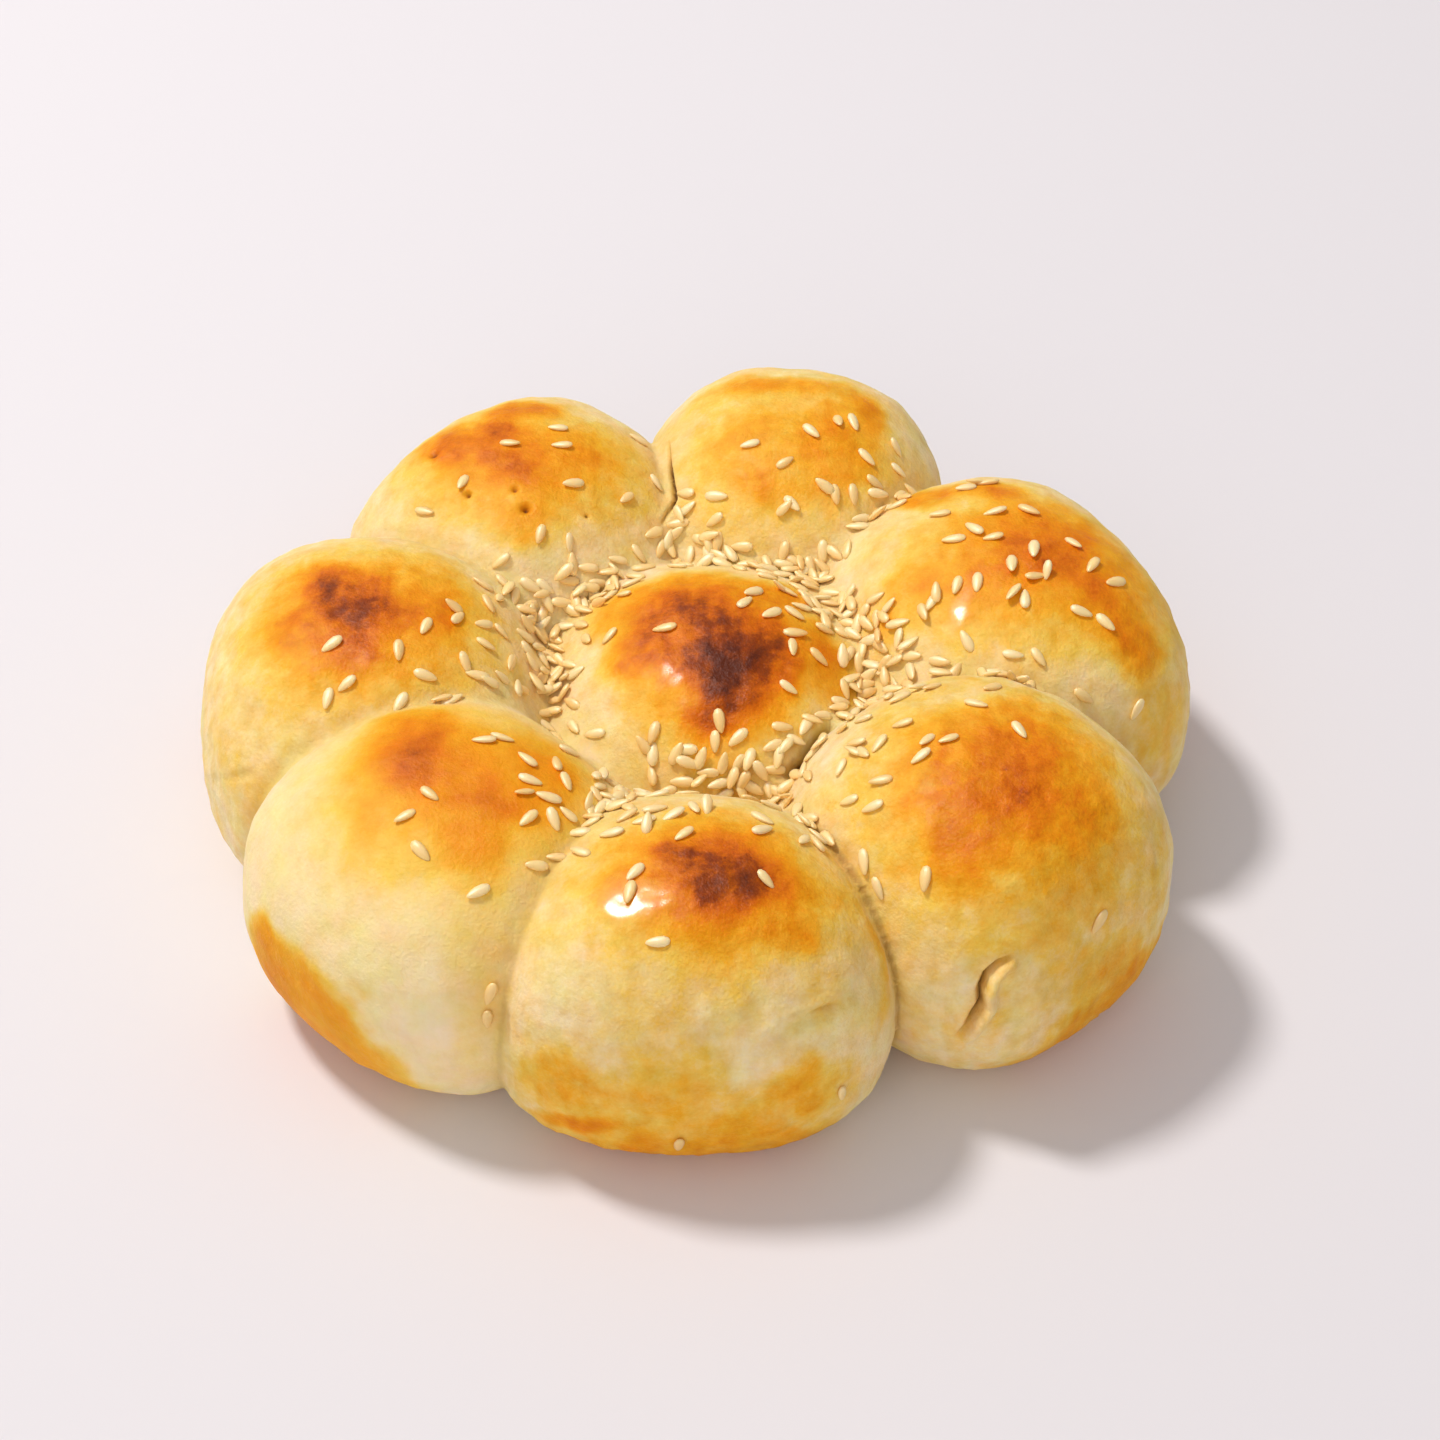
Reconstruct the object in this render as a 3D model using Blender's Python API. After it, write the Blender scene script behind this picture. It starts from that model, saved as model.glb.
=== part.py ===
"""Honeycomb bread: seven round buns proved in a ring around an eighth until they fuse into one pull-apart loaf.

The loaf is one piece of bread, so it is one closed solid. Each bun is a dome with a rounded-in foot and
pressed sides, all eight are united with the dough that joins them below, and the tray cuts the flat base.
Lengths in the tables are in millimetres and angles in degrees; the model itself is in metres, +Z up, with
its origin at the middle of the base's box.
"""

import math
from collections import namedtuple

import bmesh
import bpy
from mathutils import Matrix, Vector

MM = 0.001

# Driving dimensions.
Bun = namedtuple("Bun", "name angle reach wide out inward high shoulder twist inner_power dome_power")
CENTRE_BUN = Bun("centre", 59, 2.9, 22.5, 23.0, 23.5, 32.5, 13.0, 31, 2.3, 2.1)
RING_BUNS = (
    Bun("front", -90.5, 44.0, 24.7, 18.5, 23.5, 36.0, 12.5, 3, 2.0, 2.35),
    Bun("front_right", -36, 43.0, 23.5, 22.0, 24.5, 38.0, 14.0, -8, 2.3, 2.35),
    Bun("back_right", 20, 43.5, 27.0, 21.0, 25.5, 36.5, 14.0, 6, 2.3, 2.35),
    Bun("back", 74.5, 43.0, 22.0, 22.5, 23.5, 36.5, 13.0, 6, 2.3, 2.35),
    Bun("back_left", 127.5, 42.0, 25.0, 20.0, 24.0, 36.0, 13.0, 12, 2.3, 2.35),
    Bun("left", 179, 44.0, 25.0, 20.6, 25.0, 36.5, 14.0, 6, 2.3, 2.35),
    Bun("front_left", -135, 42.5, 25.0, 22.8, 23.0, 36.0, 15.0, 4, 2.3, 2.35),
)
# A bun seen from above is squarer on its free side (OUTER_POWER) than towards the middle (its own
# inner_power); 2 is an ellipse. Seen from the side, its dome_power is the fullness above the shoulder.
OUTER_POWER = 2.5
FOOT_POWER = 2.6        # fullness of the rounded-in foot below the shoulder
SUNK = 2.5              # how far each foot would reach below the tray it is baked flat on
JOINING_RADIUS = 38.0   # the low dough that joins the buns under the valleys
JOINING_HEIGHT = 21.0
LUMP = 0.35             # how far the risen dough swells unevenly
LUMP_WAVES = 3.1        # waves of that unevenness across a bun
TRAY_SIDE = 200.0
TRAY_DEEP = 20.0
BALL_DIVISIONS = 4


def clear_scene():
    for thing in list(bpy.data.objects):
        bpy.data.objects.remove(thing)


def new_collection(name):
    collection = bpy.data.collections.new(name)
    bpy.context.scene.collection.children.link(collection)
    return collection


def crust_material():
    material = bpy.data.materials.new("crust")
    material.use_nodes = True
    shader = material.node_tree.nodes["Principled BSDF"]
    shader.inputs["Base Color"].default_value = (0.72, 0.42, 0.13, 1.0)
    shader.inputs["Roughness"].default_value = 0.45
    shader.inputs["Metallic"].default_value = 0.0
    return material


def lump(direction, phase):
    """The soft swelling of risen dough, as a length in millimetres."""
    x, y, z = direction * LUMP_WAVES
    return LUMP * (math.sin(x + 1.7 * phase) * math.cos(1.3 * y - phase) + 0.6 * math.sin(1.9 * z + 0.8 * x + phase))


def bun_surface(direction, bun, phase):
    """The point of a bun's skin that lies in a direction of the unit ball: x along the ring, y outward."""
    x, y, z = direction
    fullness = bun.dome_power if z > 0 else FOOT_POWER
    squareness = OUTER_POWER if y > 0 else bun.inner_power
    across = (abs(x) ** squareness + abs(y) ** squareness) ** (1 / squareness)
    stretch = (across ** fullness + abs(z) ** fullness) ** (-1 / fullness)
    reach_y = bun.out if y > 0 else bun.inward
    reach_z = bun.high - bun.shoulder if z > 0 else bun.shoulder + SUNK
    point = Vector((bun.wide * x * stretch, reach_y * y * stretch, bun.shoulder + reach_z * z * stretch))
    return (point + direction * lump(direction, phase)) * MM


def ball_object(name, collection, surface):
    """A ball of dough whose points are moved to where a function says."""
    shape = bmesh.new()
    bmesh.ops.create_icosphere(shape, subdivisions=BALL_DIVISIONS, radius=1.0)
    for vert in shape.verts:
        vert.co = surface(vert.co.normalized())
    mesh = bpy.data.meshes.new(name)
    shape.to_mesh(mesh)
    shape.free()
    thing = bpy.data.objects.new(name, mesh)
    collection.objects.link(thing)
    return thing


def make_bun(bun, phase, collection):
    thing = ball_object("dough_" + bun.name, collection, lambda way: bun_surface(way, bun, phase))
    angle = math.radians(bun.angle)
    facing = angle + math.radians(bun.twist) - math.pi / 2
    place = Vector((math.cos(angle), math.sin(angle), 0.0)) * bun.reach * MM
    thing.data.transform(Matrix.Translation(place) @ Matrix.Rotation(facing, 4, "Z"))
    return thing


def joining_surface(direction):
    """The low round of dough under the valleys, sunk like the buns' feet."""
    x, y, z = direction
    reach_z = JOINING_HEIGHT if z > 0 else SUNK
    return Vector((JOINING_RADIUS * x, JOINING_RADIUS * y, reach_z * z)) * MM


def make_tray(collection):
    shape = bmesh.new()
    size = Matrix.Diagonal((TRAY_SIDE * MM, TRAY_SIDE * MM, TRAY_DEEP * MM, 1.0))
    down = Matrix.Translation((0.0, 0.0, -TRAY_DEEP * MM / 2))
    bmesh.ops.create_cube(shape, size=1.0, matrix=down @ size)
    mesh = bpy.data.meshes.new("tray")
    shape.to_mesh(mesh)
    shape.free()
    thing = bpy.data.objects.new("tray", mesh)
    collection.objects.link(thing)
    return thing


def middle_of_box(things):
    points = [vert.co for thing in things for vert in thing.data.vertices]
    xs = [point.x for point in points]
    ys = [point.y for point in points]
    return Vector(((min(xs) + max(xs)) / 2, (min(ys) + max(ys)) / 2, 0.0))


def as_cutter(thing):
    thing.hide_render = True
    thing.display_type = "WIRE"


def build_loaf():
    bread = new_collection("honeycomb_bread")
    doughs = new_collection("doughs")
    cutters = new_collection("cutters")
    buns = [make_bun(bun, phase, doughs) for phase, bun in enumerate((CENTRE_BUN,) + RING_BUNS)]
    loaf = ball_object("loaf", bread, joining_surface)
    tray = make_tray(cutters)
    middle = middle_of_box(buns)
    for thing in buns + [loaf]:
        thing.data.transform(Matrix.Translation(-middle))
    for thing in buns + [tray]:
        as_cutter(thing)
    loaf.data.materials.append(crust_material())
    fuse = loaf.modifiers.new("fuse_buns", "BOOLEAN")
    fuse.operation = "UNION"
    fuse.solver = "EXACT"
    fuse.operand_type = "COLLECTION"
    fuse.collection = doughs
    cut = loaf.modifiers.new("flat_base", "BOOLEAN")
    cut.operation = "DIFFERENCE"
    cut.solver = "EXACT"
    cut.object = tray
    loaf.data.shade_smooth()
    return loaf


clear_scene()
build_loaf()
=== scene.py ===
import math
from collections import namedtuple

import bmesh
import bpy
import numpy as np
from mathutils import Matrix, Vector, noise
from mathutils.bvhtree import BVHTree


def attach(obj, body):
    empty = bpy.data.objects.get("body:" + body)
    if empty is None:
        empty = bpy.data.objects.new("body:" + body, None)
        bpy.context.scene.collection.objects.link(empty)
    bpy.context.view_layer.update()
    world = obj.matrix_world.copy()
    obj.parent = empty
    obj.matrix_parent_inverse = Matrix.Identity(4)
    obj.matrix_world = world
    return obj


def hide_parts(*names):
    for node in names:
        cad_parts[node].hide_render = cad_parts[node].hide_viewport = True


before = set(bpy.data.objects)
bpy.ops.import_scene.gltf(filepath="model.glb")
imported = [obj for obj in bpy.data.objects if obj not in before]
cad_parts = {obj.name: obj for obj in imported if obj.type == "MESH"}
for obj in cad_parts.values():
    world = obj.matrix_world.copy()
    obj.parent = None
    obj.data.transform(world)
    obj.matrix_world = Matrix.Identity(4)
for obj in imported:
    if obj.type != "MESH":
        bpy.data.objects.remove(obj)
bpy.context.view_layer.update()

MM = 0.001                # the loaf and its seeds are worked out in millimetres


# ---- The camera ---------------------------------------------------------------------------------
# The bread is seen from the front and above, at the angle of the reference view. The same values
# also turn a place seen in that view into a place on the bread, further down.
CAMERA_PLACE = Vector((2.8, -287.2, 285.8))
CAMERA_TILT_DOWN = math.radians(43.15)
CAMERA_ROLL = math.radians(1.06)
CAMERA_LENS = 75.5
SENSOR_WIDTH = 36.0
VIEW_PIXELS = 1440

camera_turn = Matrix.Rotation(math.pi / 2 - CAMERA_TILT_DOWN, 4, "X") @ Matrix.Rotation(CAMERA_ROLL, 4, "Z")
camera_data = bpy.data.cameras.new("camera")
camera_data.lens = CAMERA_LENS
camera_data.sensor_width = SENSOR_WIDTH
camera_data.clip_start = 0.01
camera = bpy.data.objects.new("camera", camera_data)
camera.matrix_world = Matrix.Translation(CAMERA_PLACE * MM) @ camera_turn
bpy.context.scene.collection.objects.link(camera)
bpy.context.scene.camera = camera


def seen_way(pixel_x, pixel_y):
    """The direction from the camera to a pixel of the square view."""
    per_pixel = SENSOR_WIDTH / CAMERA_LENS / VIEW_PIXELS
    half = VIEW_PIXELS / 2
    flat = Vector(((pixel_x - half) * per_pixel, (half - pixel_y) * per_pixel, -1.0))
    return (camera_turn.to_3x3() @ flat).normalized()


# ---- The loaf's dough ---------------------------------------------------------------------------
# Seven balls of soft enriched dough, set in a ring around an eighth and proved until they press
# into each other. Each is a dome with a rounded-in foot; where two meet, the skin turns into a
# crease that is soft round the middle bun and tight on the outside. The base is baked flat.
Bun = namedtuple("Bun", "name angle reach wide out inward high shoulder twist inner_power dome_power")
BUNS = (
    Bun("centre", 59, 2.9, 22.5, 23.0, 23.5, 32.5, 13.0, 31, 2.3, 2.1),
    Bun("front", -90.5, 44.0, 24.7, 18.5, 23.5, 36.0, 12.5, 3, 2.0, 2.35),
    Bun("front_right", -36, 43.0, 23.5, 22.0, 24.5, 38.0, 14.0, -8, 2.3, 2.35),
    Bun("back_right", 20, 43.5, 27.0, 21.0, 25.5, 36.5, 14.0, 6, 2.3, 2.35),
    Bun("back", 74.5, 43.0, 22.0, 22.5, 23.5, 36.5, 13.0, 6, 2.3, 2.35),
    Bun("back_left", 127.5, 42.0, 25.0, 20.0, 24.0, 36.0, 13.0, 12, 2.3, 2.35),
    Bun("left", 179, 44.0, 25.0, 20.6, 25.0, 36.5, 14.0, 6, 2.3, 2.35),
    Bun("front_left", -135, 42.5, 25.0, 22.8, 23.0, 36.0, 15.0, 4, 2.3, 2.35),
)
OUTER_POWER = 2.5         # how square a bun is on its outer side, and at its foot
FOOT_POWER = 2.6
SUNK = 2.5                # how far the feet would reach down, if the tray didn't flatten them
JOINING_RADIUS = 38.0     # the low round of dough that joins the buns
JOINING_HEIGHT = 21.0
SKIN_MESH = 0.74          # size of the skin's faces
TIGHT_CREASE = 0.55       # how softly two skins run together on the outside of the loaf
SOFT_CREASE = 1.7         # and round the middle bun
SOFT_WITHIN = 30.0        # how far from the middle the creases stay soft
SOFT_EDGE = 3.0
FITTING_STEPS = 4
LONGEST_MOVE = 1.0        # how far a point may move in one fitting step
FITTED_ABOVE = 0.2        # points lower than this aren't fitted
PROBE = 0.05              # the step by which a slope is measured
TINY = 1e-6               # keeps roots and divisions off zero
NO_SLOPE = 1e-9           # and this a measured slope
BALL_DIVISIONS = 5


def bun_place(bun):
    """The bun's middle on the tray, and the directions along the ring and outward, in millimetres."""
    angle = math.radians(bun.angle)
    facing = angle + math.radians(bun.twist)
    middle = np.array((math.cos(angle), math.sin(angle), 0.0)) * bun.reach
    outward = np.array((math.cos(facing), math.sin(facing), 0.0))
    along = np.array((math.sin(facing), -math.cos(facing), 0.0))
    return middle, along, outward


def bun_powers(bun, y, z):
    return np.where(y > 0, OUTER_POWER, bun.inner_power), np.where(z > 0, bun.dome_power, FOOT_POWER)


def bun_reaches(bun, y, z):
    return np.where(y > 0, bun.out, bun.inward), np.where(z > 0, bun.high - bun.shoulder, bun.shoulder + SUNK)


def bun_distance(points, bun):
    """How far points are outside a bun's skin, in millimetres, negative inside the dough."""
    middle, along, outward = bun_place(bun)
    off = points - middle
    x, y, z = off @ along, off @ outward, off[:, 2] - bun.shoulder
    square, full = bun_powers(bun, y, z)
    long, deep = bun_reaches(bun, y, z)
    u, v, w = np.abs(x) / bun.wide + TINY, np.abs(y) / long + TINY, np.abs(z) / deep + TINY
    across = (u ** square + v ** square) ** (1 / square)
    size = (across ** full + w ** full) ** (1 / full)
    ease = size ** (1 - full) * across ** (full - square)
    slope_x = ease * u ** (square - 1) / bun.wide
    slope_y = ease * v ** (square - 1) / long
    slope_z = size ** (1 - full) * w ** (full - 1) / deep
    return (size - 1) / np.sqrt(slope_x ** 2 + slope_y ** 2 + slope_z ** 2)


def joining_distance(points):
    """The same for the low round of dough that joins the buns under the valleys."""
    flat = points[:, 0] ** 2 + points[:, 1] ** 2
    up = points[:, 2] ** 2
    size = np.sqrt(flat / JOINING_RADIUS ** 2 + up / JOINING_HEIGHT ** 2)
    slope = np.sqrt(flat / JOINING_RADIUS ** 4 + up / JOINING_HEIGHT ** 4)
    return (size - 1) * size / np.maximum(slope, TINY)


def dough_distances(points):
    return np.stack([bun_distance(points, bun) for bun in BUNS] + [joining_distance(points)])


def dough_distance(points):
    """All the dough as one skin, with the buns run together at their creases."""
    each = dough_distances(points)
    from_middle = np.hypot(points[:, 0], points[:, 1])
    inside = 1 / (1 + np.exp((from_middle - SOFT_WITHIN) / SOFT_EDGE))
    soft = TIGHT_CREASE + (SOFT_CREASE - TIGHT_CREASE) * inside
    nearest = each.min(axis=0)
    return nearest - soft * np.log(np.exp(-(each - nearest) / soft).sum(axis=0))


def uphill(points):
    """The dough's distance at each point, and the direction in which it grows."""
    here = dough_distance(points)
    rise = np.stack([dough_distance(points + PROBE * axis) - here for axis in np.eye(3)], axis=1)
    return here, rise / np.maximum(np.linalg.norm(rise, axis=1), NO_SLOPE)[:, None]


def fit_to_dough(points, shift, steps):
    """Moves points onto the dough's skin, and up to the tray. The shift leads them to the dough's place."""
    above = points[:, 2] > FITTED_ABOVE
    for step in range(steps):
        away, way = uphill(points[above] + shift)
        points[above] -= np.clip(away, -LONGEST_MOVE, LONGEST_MOVE)[:, None] * way
    points[:, 2] = np.maximum(points[:, 2], 0.0)


def ball_of_dough(shape, bun):
    """A ball, drawn out to the bun's own skin."""
    middle, along, outward = bun_place(bun)
    verts = bmesh.ops.create_icosphere(shape, subdivisions=BALL_DIVISIONS, radius=1.0)["verts"]
    x, y, z = np.array([vert.co for vert in verts]).T
    square, full = bun_powers(bun, y, z)
    long, deep = bun_reaches(bun, y, z)
    across = (np.abs(x) ** square + np.abs(y) ** square) ** (1 / square)
    stretch = (across ** full + np.abs(z) ** full) ** (-1 / full)
    for vert, a, b, c in zip(verts, x * stretch * bun.wide, y * stretch * long, z * stretch * deep):
        vert.co = Vector(middle + along * a + outward * b) + Vector((0.0, 0.0, bun.shoulder + c))


def read_points(mesh):
    flat = np.zeros(len(mesh.vertices) * 3, np.float32)
    mesh.vertices.foreach_get("co", flat)
    return flat.reshape(-1, 3).astype(float)


def read_normals(mesh):
    flat = np.zeros(len(mesh.vertices) * 3, np.float32)
    mesh.vertex_normals.foreach_get("vector", flat)
    return flat.reshape(-1, 3).astype(float)


def write_points(mesh, points):
    mesh.vertices.foreach_set("co", points.reshape(-1).astype(np.float32))
    mesh.update()


def tree_of(mesh):
    places = [vert.co.copy() for vert in mesh.vertices]
    return BVHTree.FromPolygons(places, [tuple(face.vertices) for face in mesh.polygons])


dough = bmesh.new()
for bun in BUNS:
    ball_of_dough(dough, bun)
joining = bmesh.ops.create_icosphere(dough, subdivisions=BALL_DIVISIONS, radius=1.0)["verts"]
bmesh.ops.scale(dough, verts=joining, vec=(JOINING_RADIUS, JOINING_RADIUS, JOINING_HEIGHT))
for vert in joining:
    vert.co.z = max(vert.co.z, -SUNK)
balls = np.array([vert.co for vert in dough.verts])
loaf_middle = np.append((balls[:, :2].min(axis=0) + balls[:, :2].max(axis=0)) / 2, 0.0)
balls_mesh = bpy.data.meshes.new("balls")
dough.to_mesh(balls_mesh)
dough.free()

# The overlapping balls are knitted into one skin, which is then drawn onto the true shape.
loaf = bpy.data.objects.new("loaf_crust", balls_mesh)
bpy.context.scene.collection.objects.link(loaf)
knit = loaf.modifiers.new("knit_buns", "REMESH")
knit.mode = "VOXEL"
knit.voxel_size = SKIN_MESH
crust = bpy.data.meshes.new_from_object(loaf.evaluated_get(bpy.context.evaluated_depsgraph_get()))
crust.name = "loaf_crust"
loaf.modifiers.clear()
loaf.data = crust
bpy.data.meshes.remove(balls_mesh)

skin = read_points(crust)
fit_to_dough(skin, 0.0, FITTING_STEPS)
write_points(crust, skin - loaf_middle)


# ---- Tears, blisters and pleats in the crust ----------------------------------------------------
# Where the dough was pinched together or burst in the oven, the skin has a few marks: a torn flap
# low on the front right bun, gaps and a seam between buns, popped blisters, and a fine crack,
# faint pleats and a dimple in the sides.
# A groove's dark value sets how strong the painted shade inside it gets.
Groove = namedtuple("Groove", "name wide deep lip dark line")
GROOVES = (
    Groove("tear", 0.38, 1.9, 1.9, 1.0, ((1014, 955), (998, 962), (986, 974), (980, 990), (981, 1003),
                                         (973, 1016), (966, 1028), (956, 1038))),
    Groove("gap_by_front_right", 0.65, 3.4, 0.0, 1.8, ((832, 722), (816, 742), (803, 758), (784, 778))),
    Groove("gap_by_back_left", 0.8, 2.4, 0.0, 1.0, ((606, 584), (588, 602))),
    Groove("back_seam", 0.32, 1.2, 0.0, 1.6, ((669, 442), (670, 470), (674, 498), (662, 526))),
    Groove("front_pleat", 1.0, 0.45, 0.25, 0.2, ((744, 1056), (792, 1026), (829, 1009), (866, 982))),
    Groove("front_crack", 0.3, 0.45, 0.0, 0.5, ((806, 1015), (820, 1009), (840, 1003))),
    Groove("left_pleat", 0.7, 0.25, 0.1, 0.3, ((208, 782), (236, 777), (258, 772))),
    Groove("left_dimple", 1.6, 0.45, 0.0, 0.4, ((262, 703), (247, 714), (243, 732))),
)
Blister = namedtuple("Blister", "x y radius deep")
BLISTERS = (
    Blister(515, 490, 0.45, 0.7), Blister(526, 509, 0.65, 1.0), Blister(468, 494, 0.5, 0.7),
    Blister(434, 455, 0.7, 0.5), Blister(587, 516, 0.35, 0.4),
)
FINE_REACH = 2.6          # how far round a mark the skin has finer faces
FINE_CREASE = 0.9         # and how far from the tight outer creases
FINE_CUTS = 2
CREASE_SMOOTHINGS = 8
REFITTING_STEPS = 1
FLAP_TO_THE_RIGHT = 1.2   # how far beside a groove the crest of its lip lies
FLAP_WIDE = 0.85
FLAP_REACH = 2.2          # how far from the groove its lip has sunk back
TAPER_POWER = 0.6         # how bluntly a groove runs out at its ends
ON_TRAY = 0.01            # skin lower than this lies flat on the tray


def seen(tree, pixel_x, pixel_y):
    """The place on the skin that shows at a pixel of the view, and the way the skin faces there."""
    place, facing, face, far = tree.ray_cast(CAMERA_PLACE, seen_way(pixel_x, pixel_y))
    return np.array(place), np.array(facing)


def along_line(points, line):
    """How far each point is from a line of places, how far along it, from 0 to 1, and to which side."""
    best = np.full(len(points), np.inf)
    place = np.zeros(len(points))
    side = np.zeros(len(points))
    for number, ((start, facing), (end, _)) in enumerate(zip(line, line[1:])):
        run = end - start
        share = np.clip((points - start) @ run / (run @ run), 0, 1)
        off = points - start - share[:, None] * run
        far = np.linalg.norm(off, axis=1)
        closer = far < best
        best[closer] = far[closer]
        place[closer] = (number + share[closer]) / (len(line) - 1)
        rightward = np.cross(facing, run)
        side[closer] = (off @ rightward / np.linalg.norm(rightward))[closer]
    return best, place, side


def crease_distance(points):
    """How far each point is from the crease between its two nearest buns, and which two they are."""
    each = dough_distances(points + loaf_middle)[:-1]
    two = np.argsort(each, axis=0)[:2]
    near = np.take_along_axis(each, two, axis=0)
    return near[1] - near[0], two


def off_middle(points):
    return np.hypot(points[:, 0] + loaf_middle[0], points[:, 1] + loaf_middle[1])


def on_tight_crease(points):
    """Which points lie close to a tight outer crease, above the tray."""
    near = crease_distance(points)[0] < FINE_CREASE
    return near & (off_middle(points) > SOFT_WITHIN) & (points[:, 2] > ON_TRAY)


smooth_tree = tree_of(crust)
groove_lines = [[seen(smooth_tree, x, y) for x, y in groove.line] for groove in GROOVES]
blister_places = [seen(smooth_tree, blister.x, blister.y)[0] for blister in BLISTERS]
skin = read_points(crust)
fine = on_tight_crease(skin)
for line in groove_lines:
    fine |= along_line(skin, line)[0] < FINE_REACH
for place in blister_places:
    fine |= np.linalg.norm(skin - place, axis=1) < FINE_REACH
shape = bmesh.new()
shape.from_mesh(crust)
edges = [edge for edge in shape.edges if fine[edge.verts[0].index] and fine[edge.verts[1].index]]
bmesh.ops.subdivide_edges(shape, edges=edges, cuts=FINE_CUTS, use_grid_fill=True)
bmesh.ops.triangulate(shape, faces=[face for face in shape.faces if len(face.verts) > 4])
is_creased = on_tight_crease(np.array([vert.co for vert in shape.verts]))
creased = [vert for vert, is_near in zip(shape.verts, is_creased) if is_near]
for step in range(CREASE_SMOOTHINGS):
    bmesh.ops.smooth_vert(shape, verts=creased, factor=0.5, use_axis_x=True, use_axis_y=True, use_axis_z=True)
base = [face for face in shape.faces if all(vert.co.z < ON_TRAY for vert in face.verts)]
bmesh.ops.dissolve_faces(shape, faces=base)
shape.to_mesh(crust)
shape.free()

skin = read_points(crust)
fit_to_dough(skin, loaf_middle, REFITTING_STEPS)
write_points(crust, skin)
facing = read_normals(crust)
sink = np.zeros(len(skin))
# Painted shade inside the grooves and blister pits, strongest at their bottoms.
groove_and_pit_shade = np.zeros(len(skin))
for groove, line in zip(GROOVES, groove_lines):
    far, place, side = along_line(skin, line)
    taper = np.clip(4 * place * (1 - place), 0, 1) ** TAPER_POWER
    cut = np.exp(-(far / groove.wide) ** 2) * taper
    lip = np.exp(-((side - FLAP_TO_THE_RIGHT) / FLAP_WIDE) ** 2) * np.exp(-(far / FLAP_REACH) ** 4) * taper
    sink += groove.deep * cut - groove.lip * lip
    groove_and_pit_shade = np.maximum(groove_and_pit_shade, np.clip(groove.dark * cut, 0, 1))
for blister, place in zip(BLISTERS, blister_places):
    hole = np.exp(-(np.linalg.norm(skin - place, axis=1) / blister.radius) ** 2)
    sink += blister.deep * hole
    groove_and_pit_shade = np.maximum(groove_and_pit_shade, hole)


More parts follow.
